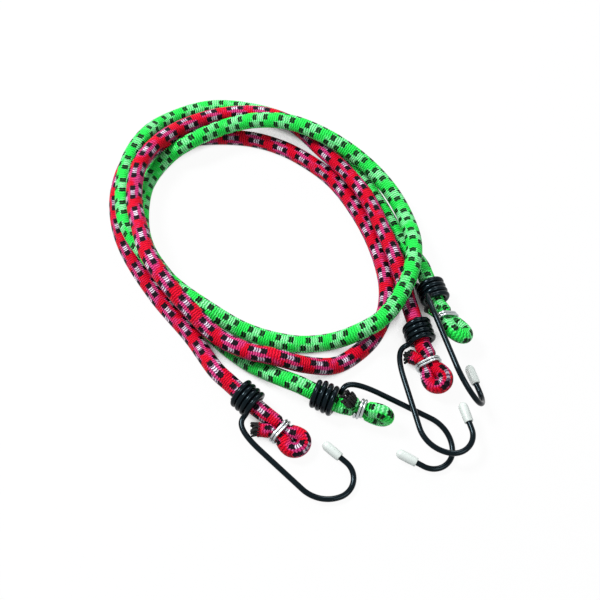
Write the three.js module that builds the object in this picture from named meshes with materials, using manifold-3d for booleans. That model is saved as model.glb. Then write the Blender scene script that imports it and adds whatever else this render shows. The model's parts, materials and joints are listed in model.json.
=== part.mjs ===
// A pair of elastic luggage cords with wire hooks, one red and one green, lying coiled together on a floor.
// Each cord is a braided cover over a rubber core. At each end it runs through the coil of a wire hook,
// folds back on itself into a loop that stops the hook, and is held there by a wire clip.
// Units are millimetres, +Z is up, and the floor is Z = 0.
import * as THREE from "three";
import { mergeVertices } from "three/addons/utils/BufferGeometryUtils.js";
import Module from "manifold-3d";

const wasm = await Module();
wasm.setup();

// Fits
const CLEARANCE = 0.3;
const CORE_CLEARANCE = 0.42;
const CUT_GAP = 0.36;
const CLIP_CLEARANCE = 0.65;
const TIP_CLEARANCE = 0.4;
const WINDING_GAP = 0.5;

// Cord
const CORD_DIAMETER = 9;
const COVER_WALL = 1.6;
const FLOOR_FLAT = 0.9;
const STRETCH_LENGTH = 60;
const CORD_SIDES = 8;
const CORD_STEP = 18;

// Folded end of the cord, measured along the cord from the middle of the hook's coil
const FOLD_START = -12;
const FOLD_LEAN_START = 8;
const NECK_DIAMETER = 4.9;
const NECK_LENGTH = 7;
const FOLD_RADIUS = 4.3;
const FOLD_DIAMETER = 7.8;
const FOLD_ARC = 220;
const FOLD_KEYS = 7;
const CLIP_TO_FOLD = 9;
const TAIL_DIAMETER = 6.8;
const CORE_STICKS_OUT = 3.5;
const FOLD_STEPS_PER_KEY = 2;

// Wire clip round the two legs of the fold
const CLIP_WIRE = 1.5;
const CLIP_TURNS = 2;
const CLIP_STEPS = 16;
const CLIP_SIDES = 6;

// Hook: coil, flared run to the shank, shank, two arcs and a straight end
const HOOK_WIRE = 2.9;
const COIL_CLEARANCE = 0.6;
const COIL_TURNS = 3.4;
const COIL_STEPS = 20;
const COIL_LEAVE_ANGLE = 70;
const HOOK_SIDES = 6;
const SHANK_OFFSET = 15;
const FLARE_END = 24;
const FLARE_PULL = 5;
const FLARE_LEAD = 21;
const FLARE_STEPS = 8;
const BEND_START = 52;
const WIDE_BEND_RADIUS = 18;
const WIDE_BEND_ANGLE = 65;
const TIGHT_BEND_RADIUS = 10.3;
const TIGHT_BEND_ANGLE = 117;
const BEND_STEP_ANGLE = 13;
const HOOK_END_LENGTH = 12;

// Plastic tip pushed over the hook's end
const TIP_LENGTH = 11;
const TIP_WALL = 0.6;
const TIP_DEPTH = 8.5;
const TIP_SIDES = 10;
const TIP_DOME_STEPS = 4;

// The four ends. Place is the middle of the hook's coil, heading turns from +X, pitch is nose up.
// Lean bends the folded end sideways, and the two rolls turn the fold and the hook about the cord.
const ENDS = {
  red_1: { place: [-27, -62.5, 8.6], heading: -42.5, pitch: -5.5, hookRoll: 0 },
  red_2: { place: [62.3, -24.8, 8.6], heading: -77, pitch: 1.3, hookRoll: 0 },
  green_1: { place: [13, -62, 8.6], heading: -26, pitch: -5.5, hookRoll: 180 },
  green_2: { place: [71, 0, 9], heading: -74, pitch: 2.5, hookRoll: -60 },
};
const FOLDS = {
  red_1: { clip: 24, lean: 6, foldRoll: 5, tail: 4.5 },
  red_2: { clip: 18.3, lean: 12, foldRoll: 30, tail: 3.5 },
  green_1: { clip: 18.5, lean: 9, foldRoll: -90, tail: 3.5 },
  green_2: { clip: 18, lean: 18, foldRoll: -32, tail: 3.5 },
};

// Where the cord leaves the straight line of each end's coil
const LEAD_POINT = { red_1: -21, red_2: -17, green_1: -15, green_2: -17 };

// Routes from the first end to the second: across, along, and lift above lying on the floor
const RED_ROUTE = [
  [-57, -25.5, 1.4], [-78, 1, 0], [-95.5, 29, 0], [-103, 50, 0], [-104.8, 71, 0], [-100, 91.5, 0],
  [-85, 103, 0], [-59.5, 109.6, 0], [-31.5, 109, 0], [-12.3, 102.8, 0], [3, 93.2, 0], [19.3, 78, 0],
  [33.6, 54.5, 0], [43.1, 30, 0], [47.2, 7.5, 0], [45.6, -9.5, 0], [39, -24.5, 0], [30.5, -34, 0],
  [18.5, -42, 1.2], [3, -44.5, 6.9], [-12.5, -42.9, 12.6], [-28, -38.6, 12], [-43, -30, 11.4],
  [-56.6, -17.5, 15.8], [-68.9, -4, 19.8], [-80.4, 13.6, 20.4], [-87, 32.5, 18.6], [-92.2, 55, 15.8],
  [-91.2, 76.5, 15.6], [-83.4, 92.4, 14.8], [-68.8, 108.5, 11.3], [-45.8, 118.8, 9.9], [-21, 119.3, 9.9],
  [-3, 110.8, 9.6], [11.5, 95.5, 8.4], [26, 78.5, 7.8], [37.5, 60.5, 8], [46.5, 36.5, 8], [53, 17, 6.9],
];
const GREEN_ROUTE = [
  [-9, -51.3, 5.4], [-18, -46, 2.7], [-28, -39.3, 0.6], [-46, -23.5, 0], [-58.9, -6.3, 0],
  [-85.2, 30.9, 0], [-90.4, 55, 0], [-87.6, 78.5, 0], [-76, 93, 4.6], [-63, 99.5, 9.8], [-44, 109, 10.9],
  [-26.5, 110, 15.4], [-6, 105, 19.8], [14.5, 96, 18.2], [34.5, 84.5, 11.6], [50.4, 65.6, 8.6],
  [59.3, 45.2, 8.1], [61.9, 24.4, 12.9], [58.5, 5, 15.3], [50, -11.5, 12.9], [42, -20.5, 11.3],
  [29, -26.5, 7.3], [16, -28, 1], [0, -29, 0], [-16, -26, 0], [-32, -20.5, 1.8], [-50.4, -11.7, 8.9],
  [-65.2, -0.6, 9.8], [-77.7, 12.7, 10], [-95.6, 40, 9.6], [-100.1, 62, 9.1], [-99, 83, 9.9],
  [-92.3, 100.3, 10], [-80.8, 120.8, 1.4], [-55, 132.7, 0], [-24.5, 129.3, 0], [0, 117.8, 0],
  [26.3, 95.5, 0], [44.5, 62.5, 0], [56.5, 35.8, 0],
];

const FINISH = {
  red_cover: { color: 0xd8142c, roughness: 0.6, metalness: 0 },
  green_cover: { color: 0x1fc24a, roughness: 0.6, metalness: 0 },
  rubber: { color: 0x202022, roughness: 0.8, metalness: 0 },
  black_wire: { color: 0x0c1012, roughness: 0.25, metalness: 0 },
  steel: { color: 0xc4c8c8, roughness: 0.3, metalness: 1 },
  white_tip: { color: 0xe6ecea, roughness: 0.4, metalness: 0 },
};

// Values worked out from the sizes above
const CORD_RADIUS = CORD_DIAMETER / 2;
const BORE_SHARE = 1 - COVER_WALL / CORD_RADIUS;
const LYING_HEIGHT = CORD_RADIUS - FLOOR_FLAT;
const NECK_OFFSET = (NECK_DIAMETER + CLEARANCE) / 2;
const COIL_RADIUS = CORD_RADIUS + COIL_CLEARANCE + HOOK_WIRE / 2;
const COIL_PITCH = HOOK_WIRE + WINDING_GAP;
const COIL_LENGTH = COIL_TURNS * COIL_PITCH;
const CLIP_PITCH = CLIP_WIRE + WINDING_GAP;
const CLIP_ROUND = NECK_DIAMETER / 2 + CLIP_CLEARANCE + CLIP_WIRE / 2;
const TAIL_OFFSET = (CORD_DIAMETER + TAIL_DIAMETER) / 2 + CLEARANCE;
const radians = THREE.MathUtils.degToRad;

// Solids
function solidOf(geometry) {
  const bare = geometry.clone();
  bare.deleteAttribute("normal");
  bare.deleteAttribute("uv");
  const merged = mergeVertices(bare, 1e-4);
  return new wasm.Manifold(
    new wasm.Mesh({
      numProp: 3,
      vertProperties: new Float32Array(merged.attributes.position.array),
      triVerts: new Uint32Array(merged.index.array),
    }),
  );
}

function geometryOf(solid) {
  const mesh = solid.getMesh();
  const geometry = new THREE.BufferGeometry();
  geometry.setAttribute("position", new THREE.BufferAttribute(mesh.vertProperties, 3));
  geometry.setIndex(new THREE.BufferAttribute(mesh.triVerts, 1));
  geometry.computeVertexNormals();
  return geometry;
}

// Takes off what lies under the floor, so that the cord rests on a flat. The matrix places the piece.
function cutAtFloor(geometry, matrix = new THREE.Matrix4()) {
  const placed = geometry.clone().applyMatrix4(matrix);
  placed.computeBoundingBox();
  const { min, max } = placed.boundingBox;
  if (min.z >= 0) return geometry;
  const size = max.clone().sub(min).addScalar(CORD_DIAMETER);
  const ground = new THREE.BoxGeometry(size.x, size.y, CORD_DIAMETER);
  ground.translate((min.x + max.x) / 2, (min.y + max.y) / 2, -CORD_DIAMETER / 2);
  const cut = geometryOf(solidOf(placed).subtract(solidOf(ground)));
  return cut.applyMatrix4(matrix.clone().invert());
}

// Rings
function ringPoints(radius, sides) {
  return Array.from({ length: sides }, (_, i) => {
    const turn = (2 * Math.PI * i) / sides;
    return new THREE.Vector2(radius * Math.cos(turn), radius * Math.sin(turn));
  });
}

// A tube of one size along a curve, with a bore if its radius is given
function tubeAlong(curve, radius, boreRadius = 0) {
  const section = new THREE.Shape(ringPoints(radius, CORD_SIDES));
  if (boreRadius > 0) section.holes.push(new THREE.Path(ringPoints(boreRadius, CORD_SIDES)));
  const steps = Math.max(4, Math.round(curve.getLength() / CORD_STEP));
  return new THREE.ExtrudeGeometry(section, { steps, bevelEnabled: false, extrudePath: curve });
}

// Directions square to a path, carried along it without twist
function framesAlong(points) {
  const last = points.length - 1;
  const tangents = points.map((_, i) =>
    points[Math.min(i + 1, last)].clone().sub(points[Math.max(i - 1, 0)]).normalize(),
  );
  const seed = Math.abs(tangents[0].z) < 0.9 ? new THREE.Vector3(0, 0, 1) : new THREE.Vector3(0, 1, 0);
  let across = new THREE.Vector3().crossVectors(seed, tangents[0]).normalize();
  return tangents.map((tangent) => {
    across = across.clone().addScaledVector(tangent, -across.dot(tangent)).normalize();
    return { across, up: new THREE.Vector3().crossVectors(tangent, across) };
  });
}

// A tube through points, with its own radius at each, and a bore if its radii are given
function sweep(points, radii, sides, boreRadii = null) {
  const frames = framesAlong(points);
  const vertices = [];
  const faces = [];
  const addRings = (sizes) => {
    const first = vertices.length / 3;
    points.forEach((point, i) => {
      for (const spot of ringPoints(sizes[i], sides)) {
        const place = point.clone().addScaledVector(frames[i].across, spot.x);
        place.addScaledVector(frames[i].up, spot.y);
        vertices.push(place.x, place.y, place.z);
      }
    });
    return first;
  };
  const addQuad = (a, b, c, d) => faces.push(a, b, c, a, c, d);
  const addWall = (first, outward) => {
    for (let i = 0; i + 1 < points.length; i++) {
      for (let k = 0; k < sides; k++) {
        const a = first + i * sides + k;
        const b = first + i * sides + ((k + 1) % sides);
        if (outward) addQuad(a, b, b + sides, a + sides);
        else addQuad(a, a + sides, b + sides, b);
      }
    }
  };
  const outer = addRings(radii);
  addWall(outer, true);
  const lastRing = (points.length - 1) * sides;
  if (boreRadii) {
    const inner = addRings(boreRadii);
    addWall(inner, false);
    for (let k = 0; k < sides; k++) {
      const next = (k + 1) % sides;
      addQuad(outer + k, inner + k, inner + next, outer + next);
      addQuad(outer + lastRing + k, outer + lastRing + next, inner + lastRing + next, inner + lastRing + k);
    }
  } else {
    for (let k = 1; k + 1 < sides; k++) {
      faces.push(outer, outer + k + 1, outer + k);
      faces.push(outer + lastRing, outer + lastRing + k, outer + lastRing + k + 1);
    }
  }
  const geometry = new THREE.BufferGeometry();
  geometry.setAttribute("position", new THREE.Float32BufferAttribute(vertices, 3));
  geometry.setIndex(faces);
  geometry.computeVertexNormals();
  return geometry;
}

// The least gap between a wound tube and itself, from points along its centre line
function gapToItself(points, diameter) {
  const run = [0];
  points.forEach((point, i) => i > 0 && run.push(run[i - 1] + point.distanceTo(points[i - 1])));
  let least = Infinity;
  points.forEach((point, i) =>
    points.forEach((other, j) => {
      if (run[j] - run[i] < 2.5 * diameter) return;
      least = Math.min(least, point.distanceTo(other) - diameter);
    }),
  );
  return least;
}

const smooth = (points, count) => new THREE.CatmullRomCurve3(points).getSpacedPoints(count);

function material(finish) {
  return new THREE.MeshStandardMaterial(FINISH[finish]);
}

function piece(name, geometry, finish) {
  const mesh = new THREE.Mesh(geometry, material(finish));
  mesh.name = name;
  return mesh;
}

// Ends: a frame at the middle of the coil, with x outward along the cord
function endMatrix(end) {
  const turn = new THREE.Euler(0, -radians(end.pitch), radians(end.heading), "ZYX");
  return new THREE.Matrix4().makeRotationFromEuler(turn).setPosition(...end.place);
}

// Free length of a cord between its two ends, kept off the floor
class CordCurve extends THREE.Curve {
  constructor(points) {
    super();
    this.line = new THREE.CatmullRomCurve3(points);
    this.arcLengthDivisions = 1200;
    this.line.arcLengthDivisions = 1200;
  }
  getPoint(t, target = new THREE.Vector3()) {
    this.line.getPoint(t, target);
    target.z = Math.max(target.z, LYING_HEIGHT);
    return target;
  }
}

class CordStretch extends THREE.Curve {
  constructor(cord, from, to) {
    super();
    Object.assign(this, { cord, from, to });
  }
  getPoint(t, target = new THREE.Vector3()) {
    const length = this.cord.getLength();
    return this.cord.getPointAt((this.from + (this.to - this.from) * t) / length, target);
  }
}

function cordCurve(colour, route) {
  const at = (name, x) => new THREE.Vector3(x, 0, 0).applyMatrix4(endMatrix(ENDS[name]));
  const first = colour + "_1";
  const second = colour + "_2";
  return new CordCurve([
    at(first, FOLD_START),
    at(first, LEAD_POINT[first]),
    ...route.map(([x, y, lift]) => new THREE.Vector3(x, y, LYING_HEIGHT + lift)),
    at(second, LEAD_POINT[second]),
    at(second, FOLD_START),
  ]);
}

function cordPieces(colour, route) {
  const curve = cordCurve(colour, route);
  const length = curve.getLength();
  const stretches = {
    stretch_1: [CUT_GAP / 2, STRETCH_LENGTH - CUT_GAP / 2],
    main: [STRETCH_LENGTH + CUT_GAP / 2, length - STRETCH_LENGTH - CUT_GAP / 2],
    stretch_2: [length - STRETCH_LENGTH + CUT_GAP / 2, length - CUT_GAP / 2],
  };
  const gap = gapToItself(curve.getSpacedPoints(Math.round(length)), CORD_DIAMETER);
  console.log(`${colour} cord: free length ${length.toFixed(0)} mm, least gap to itself ${gap.toFixed(2)} mm`);
  return Object.entries(stretches).flatMap(([name, [from, to]]) => {
    const part = new CordStretch(curve, from, to);
    const cover = tubeAlong(part, CORD_RADIUS, CORD_RADIUS * BORE_SHARE);
    const core = tubeAlong(part, CORD_RADIUS * BORE_SHARE - CORE_CLEARANCE);
    return [
      piece(`${colour}_cover_${name}`, cutAtFloor(cover), `${colour}_cover`),
      piece(`${colour}_core_${name}`, core, "rubber"),
    ];
  });
}

// The folded end: places along its centre line in the plane of the fold, with the cord's radius at each
function foldKeys({ clip, tail }) {
  const centre = -NECK_OFFSET;
  const bulb = clip + CLIP_TO_FOLD;
  const halfNeck = NECK_LENGTH / 2;
  const neck = NECK_DIAMETER / 2;
  const round = Array.from({ length: FOLD_KEYS }, (_, i) => {
    const turn = radians(FOLD_ARC) * (0.5 - i / (FOLD_KEYS - 1));
    const place = [bulb + FOLD_RADIUS * Math.cos(turn), centre + FOLD_RADIUS * Math.sin(turn)];
    return [...place, FOLD_DIAMETER / 2];
  });
  const tailEnd = clip - halfNeck - tail;
  return [
    [FOLD_START + CUT_GAP / 2, 0, CORD_RADIUS],
    [FOLD_START / 2, 0, CORD_RADIUS],
    [0, 0, CORD_RADIUS],
    [FOLD_LEAN_START, 0, CORD_RADIUS],
    [clip - halfNeck, centre + NECK_OFFSET, neck],
    [clip + halfNeck, centre + NECK_OFFSET, neck],
    ...round,
    [clip + halfNeck, centre - NECK_OFFSET, neck],
    [clip - halfNeck, centre - NECK_OFFSET, neck],
    [(clip - halfNeck + tailEnd) / 2, (centre - NECK_OFFSET - TAIL_OFFSET) / 2, TAIL_DIAMETER / 2],
    [tailEnd, -TAIL_OFFSET, TAIL_DIAMETER / 2],
  ];
}

// Places a point of the fold's plane in the end's frame, leaned sideways past the coil
function foldPoint(fold, x, offset, height = 0) {
  const roll = radians(fold.foldRoll);
  const side = offset * Math.cos(roll) - height * Math.sin(roll);
  const rise = offset * Math.sin(roll) + height * Math.cos(roll);
  const lean = Math.max(0, x - FOLD_LEAN_START) * Math.tan(radians(fold.lean));
  return new THREE.Vector3(x, side + lean, rise);
}

function foldPieces(name) {
  const fold = FOLDS[name];
  const keys = foldKeys(fold);
  const curve = new THREE.CatmullRomCurve3(keys.map(([x, offset]) => foldPoint(fold, x, offset)));
  const count = (keys.length - 1) * FOLD_STEPS_PER_KEY;
  const points = [];
  const radii = [];
  for (let i = 0; i <= count; i++) {
    points.push(curve.getPoint(i / count));
    const key = Math.min(Math.floor(i / FOLD_STEPS_PER_KEY), keys.length - 2);
    const share = THREE.MathUtils.smoothstep(i / FOLD_STEPS_PER_KEY - key, 0, 1);
    radii.push(THREE.MathUtils.lerp(keys[key][2], keys[key + 1][2], share));
  }
  const bores = radii.map((radius) => radius * BORE_SHARE);
  const cores = bores.map((radius) => radius - CORE_CLEARANCE);
  const [colour, number] = name.split("_");
  const cover = sweep(points, radii, CORD_SIDES, bores);
  const out = points[count].clone().sub(points[count - 1]).setLength(CORE_STICKS_OUT);
  points.push(points[count].clone().add(out));
  cores.push(cores[count]);
  const core = sweep(points, cores, CORD_SIDES);
  return [
    piece(`${colour}_cover_fold_${number}`, cutAtFloor(cover, endMatrix(ENDS[name])), `${colour}_cover`),
    piece(`${colour}_core_fold_${number}`, core, "rubber"),
  ];
}

// The clip: turns of wire round both legs, with straight ends under the fold
function clipPoints(fold) {
  const half = NECK_OFFSET;
  const length = CLIP_TURNS * CLIP_PITCH;
  const spots = [];
  const total = CLIP_TURNS * CLIP_STEPS;
  for (let i = 0; i <= total; i++) {
    const turn = (2 * Math.PI * i) / CLIP_STEPS - Math.PI / 2;
    const beyond = Math.abs(Math.cos(turn)) < 1e-6 ? 0 : Math.sign(Math.cos(turn)) * half;
    spots.push([
      fold.clip - length / 2 + (length * i) / total,
      beyond + CLIP_ROUND * Math.cos(turn) - NECK_OFFSET,
      CLIP_ROUND * Math.sin(turn),
    ]);
  }
  const [startX, startSide, height] = spots[0];
  const [endX, endSide] = spots[total];
  spots.unshift([startX, startSide - CLIP_WIRE, height]);
  spots.push([endX, endSide + CLIP_WIRE, height]);
  return spots.map(([x, side, rise]) => foldPoint(fold, x, side, rise));
}

function clipPiece(name) {
  const points = clipPoints(FOLDS[name]);
  const gap = gapToItself(new THREE.CatmullRomCurve3(points).getSpacedPoints(400), CLIP_WIRE);
  console.log(`${name} clip: least gap to itself ${gap.toFixed(2)} mm`);
  const [colour, number] = name.split("_");
  const wire = sweep(points, points.map(() => CLIP_WIRE / 2), CLIP_SIDES);
  return piece(`${colour}_clip_${number}`, wire, "steel");
}

// The hook's centre line in its own frame, with the shank on the -y side
function arcPoints(start, heading, radius, angle) {
  const count = Math.ceil(angle / BEND_STEP_ANGLE);
  const from = radians(heading);
  const centre = new THREE.Vector3(start.x - radius * Math.sin(from), start.y + radius * Math.cos(from), 0);
  return Array.from({ length: count }, (_, i) => {
    const turn = from + (radians(angle) * (i + 1)) / count;
    return centre.clone().add(new THREE.Vector3(radius * Math.sin(turn), -radius * Math.cos(turn), 0));
  });
}

function coilPoint(turn) {
  const x = COIL_LENGTH / 2 - ((radians(COIL_LEAVE_ANGLE) - turn) / (2 * Math.PI)) * COIL_PITCH;
  return new THREE.Vector3(x, -COIL_RADIUS * Math.sin(turn), COIL_RADIUS * Math.cos(turn));
}

function coilTangent(turn) {
  const rise = COIL_PITCH / (2 * Math.PI);
  const ahead = new THREE.Vector3(rise, -COIL_RADIUS * Math.cos(turn), -COIL_RADIUS * Math.sin(turn));
  return ahead.normalize();
}

function hookPoints() {
  const last = radians(COIL_LEAVE_ANGLE);
  const first = last - 2 * Math.PI * COIL_TURNS;
  const count = Math.round(COIL_TURNS * COIL_STEPS);
  const coil = Array.from({ length: count + 1 }, (_, i) => coilPoint(first + ((last - first) * i) / count));
  coil.unshift(coil[0].clone().addScaledVector(coilTangent(first), -HOOK_WIRE));
  const leave = coil[coil.length - 1];
  const shankStart = new THREE.Vector3(FLARE_END, -SHANK_OFFSET, 0);
  const flare = new THREE.CubicBezierCurve3(
    leave,
    leave.clone().addScaledVector(coilTangent(last), FLARE_PULL),
    new THREE.Vector3(FLARE_END - FLARE_LEAD, -SHANK_OFFSET, 0),
    shankStart,
  );
  const bendStart = new THREE.Vector3(BEND_START, -SHANK_OFFSET, 0);
  const wide = arcPoints(bendStart, 0, WIDE_BEND_RADIUS, WIDE_BEND_ANGLE);
  const tight = arcPoints(wide[wide.length - 1], WIDE_BEND_ANGLE, TIGHT_BEND_RADIUS, TIGHT_BEND_ANGLE);
  const back = radians(WIDE_BEND_ANGLE + TIGHT_BEND_ANGLE);
  const ahead = new THREE.Vector3(Math.cos(back), Math.sin(back), 0);
  const wireEnd = tight[tight.length - 1].clone().addScaledVector(ahead, HOOK_END_LENGTH);
  return {
    points: [...coil, ...flare.getPoints(FLARE_STEPS).slice(1), bendStart, ...wide, ...tight, wireEnd],
    coil,
    wireEnd,
    ahead,
  };
}

function tipGeometry() {
  const bore = HOOK_WIRE / 2 + TIP_CLEARANCE;
  const outside = bore + TIP_WALL;
  const dome = Array.from({ length: TIP_DOME_STEPS + 1 }, (_, i) => {
    const turn = (Math.PI / 2) * (i / TIP_DOME_STEPS);
    const height = TIP_LENGTH - outside + outside * Math.sin(turn);
    return new THREE.Vector2(i === TIP_DOME_STEPS ? 0 : outside * Math.cos(turn), height);
  });
  const profile = [
    new THREE.Vector2(0, TIP_DEPTH),
    new THREE.Vector2(bore, TIP_DEPTH),
    new THREE.Vector2(bore, 0),
    new THREE.Vector2(outside, 0),
    ...dome,
  ];
  return new THREE.LatheGeometry(profile, TIP_SIDES);
}

function hookPieces(name) {
  const [colour, number] = name.split("_");
  const { points, wireEnd, ahead } = hookPoints();
  const wire = sweep(points, points.map(() => HOOK_WIRE / 2), HOOK_SIDES);
  const hook = piece(`${colour}_hook_${number}`, wire, "black_wire");
  const tip = piece(`${colour}_hook_tip_${number}`, tipGeometry(), "white_tip");
  tip.quaternion.setFromUnitVectors(new THREE.Vector3(0, 1, 0), ahead);
  tip.position.copy(wireEnd).addScaledVector(ahead, CLEARANCE - TIP_DEPTH);
  return [hook, tip];
}

function buildEnd(name, end) {
  const group = new THREE.Group();
  group.applyMatrix4(endMatrix(end));
  group.add(...foldPieces(name), clipPiece(name));
  const swivel = new THREE.Group();
  swivel.rotation.x = radians(end.hookRoll);
  swivel.add(...hookPieces(name));
  group.add(swivel);
  return group;
}

const model = new THREE.Group();
model.add(...cordPieces("red", RED_ROUTE), ...cordPieces("green", GREEN_ROUTE));
for (const [name, end] of Object.entries(ENDS)) model.add(buildEnd(name, end));
const coilGap = gapToItself(smooth(hookPoints().coil, 600), HOOK_WIRE);
console.log(`hook coil: least gap to itself ${coilGap.toFixed(2)} mm`);

// The origin is under the middle of the pair, on the floor
model.updateMatrixWorld(true);
const middle = new THREE.Box3().setFromObject(model, true).getCenter(new THREE.Vector3());
model.position.set(-middle.x, -middle.y, 0);

export default model;
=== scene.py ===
# %% [markdown]
# # A pair of bungee cords
# Two elastic luggage cords, one red and one green, lie coiled together on a white table.
# Each one is a braided cover over rubber strands. At each end the cord runs through the coil of a
# black wire hook, folds back into a round loop and is held by a clip of bright wire.
# The solid model gives every piece its place and its joints. This script makes a finer piece for each
# solid, in the same place, and lets each one move with the same body, except the stretches of cord.

# %% Load the solid model
import json
import math

import bpy
import numpy as np
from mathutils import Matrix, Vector


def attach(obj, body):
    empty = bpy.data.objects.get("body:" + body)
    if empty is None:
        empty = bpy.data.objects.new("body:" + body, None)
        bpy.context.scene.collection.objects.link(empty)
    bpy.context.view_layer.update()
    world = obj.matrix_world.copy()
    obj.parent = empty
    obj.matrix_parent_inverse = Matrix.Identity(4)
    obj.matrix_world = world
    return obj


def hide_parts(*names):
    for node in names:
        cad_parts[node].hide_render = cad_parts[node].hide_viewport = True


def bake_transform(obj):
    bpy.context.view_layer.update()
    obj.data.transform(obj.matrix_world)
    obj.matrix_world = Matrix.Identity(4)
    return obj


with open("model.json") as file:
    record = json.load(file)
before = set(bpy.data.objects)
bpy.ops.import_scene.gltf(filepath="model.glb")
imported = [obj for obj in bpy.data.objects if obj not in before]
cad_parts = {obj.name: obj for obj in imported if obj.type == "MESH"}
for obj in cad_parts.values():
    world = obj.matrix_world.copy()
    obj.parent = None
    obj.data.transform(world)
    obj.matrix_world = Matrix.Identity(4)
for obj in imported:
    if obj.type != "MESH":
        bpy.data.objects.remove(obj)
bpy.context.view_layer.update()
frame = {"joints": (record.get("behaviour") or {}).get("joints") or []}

# %% [markdown]
# ## The four ends
# Each cord has a hook at either end, and every piece near a hook is drawn from that end's place and heading.
# The script can't read the solid model's source, so it repeats the sizes and routes that it needs, in
# millimetres, in the plan that they were drawn in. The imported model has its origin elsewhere. The step
# between the two could be typed in, but it would be wrong after the next change to the model, so it is
# worked out from one swivel joint, whose place is known in both.

# %% The four ends
MM = 0.001
ENDS = {
    "red_1": dict(place=(-27, -62.5, 8.6), heading=-42.5, pitch=-5.5, hook_roll=0),
    "red_2": dict(place=(62.3, -24.8, 8.6), heading=-77, pitch=1.3, hook_roll=0),
    "green_1": dict(place=(13, -62, 8.6), heading=-26, pitch=-5.5, hook_roll=180),
    "green_2": dict(place=(71, 0, 9), heading=-74, pitch=2.5, hook_roll=-60),
}

swivel = next(j for j in frame["joints"] if j["name"] == "red_hook_1_swivel")
SHIFT = np.array(swivel["pos_m"]) / MM - np.array(ENDS["red_1"]["place"])


def end_axes(name):
    """The frame of one end: outward along the cord, to its left, and up."""
    end = ENDS[name]
    h, p = math.radians(end["heading"]), math.radians(end["pitch"])
    out = np.array([math.cos(h) * math.cos(p), math.sin(h) * math.cos(p), math.sin(p)])
    left = np.array([-math.sin(h), math.cos(h), 0])
    return np.stack([out, left, np.cross(out, left)])


def from_end(name, local):
    """Points given in an end's own frame, as places in the plan."""
    return np.asarray(ENDS[name]["place"]) + np.asarray(local) @ end_axes(name)


print("step from the plan to the packed model (mm):", SHIFT.round(3))
print("the first red end points along:", end_axes("red_1")[0].round(3))

# %% [markdown]
# ## Camera
# The photo looks down on the cords at about 60 degrees, from far enough away that the loops at the back
# are only a little smaller than the hooks in front. A camera can be aimed by eye or by a constraint. Here
# its place is worked out from an elevation and a distance, because both can be found from the photo: the
# cord is 9 mm thick wherever it lies, so the way its width shrinks towards the back gives the distance.

# %% Camera
CAMERA_ELEVATION = 60
CAMERA_DISTANCE = 545
CAMERA_LENS = 60
CAMERA_SENSOR = 36
CAMERA_CLIP = (0.01, 20)

camera_data = bpy.data.cameras.new("camera")
camera_data.lens = CAMERA_LENS
camera_data.sensor_width = CAMERA_SENSOR
camera_data.clip_start, camera_data.clip_end = CAMERA_CLIP
camera = bpy.data.objects.new("camera", camera_data)
bpy.context.scene.collection.objects.link(camera)
tilt = math.radians(CAMERA_ELEVATION)
back = np.array([0, -math.cos(tilt), math.sin(tilt)]) * CAMERA_DISTANCE
camera.location = Vector((SHIFT + back) * MM)
camera.rotation_euler = (math.pi / 2 - tilt, 0, 0)
bpy.context.scene.camera = camera
print("camera at (m):", [round(v, 3) for v in camera.location])

# %% [markdown]
# ## Routes of the cords
# Between its hooks each cord makes two turns of the coil and passes over or under whatever it meets. Such a
# line could be a Blender curve. Here the points are a plain list and the line through them is worked out,
# because the rings of braid, the pattern and the cuts at the joints all have to know how far along the cord
# they are. Each point is a place in the plan, and how far the cord is lifted off the table there.

# %% Routes of the cords
ROUTES = {
    "red": [
        (-57, -25.5, 1.4), (-78, 1, 0), (-95.5, 29, 0), (-103, 50, 0), (-104.8, 71, 0), (-100, 91.5, 0),
        (-85, 103, 0), (-59.5, 109.6, 0), (-31.5, 109, 0), (-12.3, 102.8, 0), (3, 93.2, 0), (19.3, 78, 0),
        (33.6, 54.5, 0), (43.1, 30, 0), (47.2, 7.5, 0), (45.6, -9.5, 0), (39, -24.5, 0), (30.5, -34, 0),
        (18.5, -42, 1.2), (3, -44.5, 6.9), (-12.5, -42.9, 12.6), (-28, -38.6, 12), (-43, -30, 11.4),
        (-56.6, -17.5, 15.8), (-68.9, -4, 19.8), (-80.4, 13.6, 20.4), (-87, 32.5, 18.6), (-92.2, 55, 15.8),
        (-91.2, 76.5, 15.6), (-83.4, 92.4, 14.8), (-68.8, 108.5, 11.3), (-45.8, 118.8, 9.9),
        (-21, 119.3, 9.9), (-3, 110.8, 9.6), (11.5, 95.5, 8.4), (26, 78.5, 7.8), (37.5, 60.5, 8),
        (46.5, 36.5, 8), (53, 17, 6.9),
    ],
    "green": [
        (-9, -51.3, 5.4), (-18, -46, 2.7), (-28, -39.3, 0.6), (-46, -23.5, 0), (-58.9, -6.3, 0),
        (-85.2, 30.9, 0), (-90.4, 55, 0), (-87.6, 78.5, 0), (-76, 93, 4.6), (-63, 99.5, 9.8),
        (-44, 109, 10.9), (-26.5, 110, 15.4), (-6, 105, 19.8), (14.5, 96, 18.2), (34.5, 84.5, 11.6),
        (50.4, 65.6, 8.6), (59.3, 45.2, 8.1), (61.9, 24.4, 12.9), (58.5, 5, 15.3), (50, -11.5, 12.9),
        (42, -20.5, 11.3), (29, -26.5, 7.3), (16, -28, 1), (0, -29, 0), (-16, -26, 0), (-32, -20.5, 1.8),
        (-50.4, -11.7, 8.9), (-65.2, -0.6, 9.8), (-77.7, 12.7, 10), (-95.6, 40, 9.6), (-100.1, 62, 9.1),
        (-99, 83, 9.9), (-92.3, 100.3, 10), (-80.8, 120.8, 1.4), (-55, 132.7, 0), (-24.5, 129.3, 0),
        (0, 117.8, 0), (26.3, 95.5, 0), (44.5, 62.5, 0), (56.5, 35.8, 0),
    ],
}
SPAN_POINTS = 24


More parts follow.
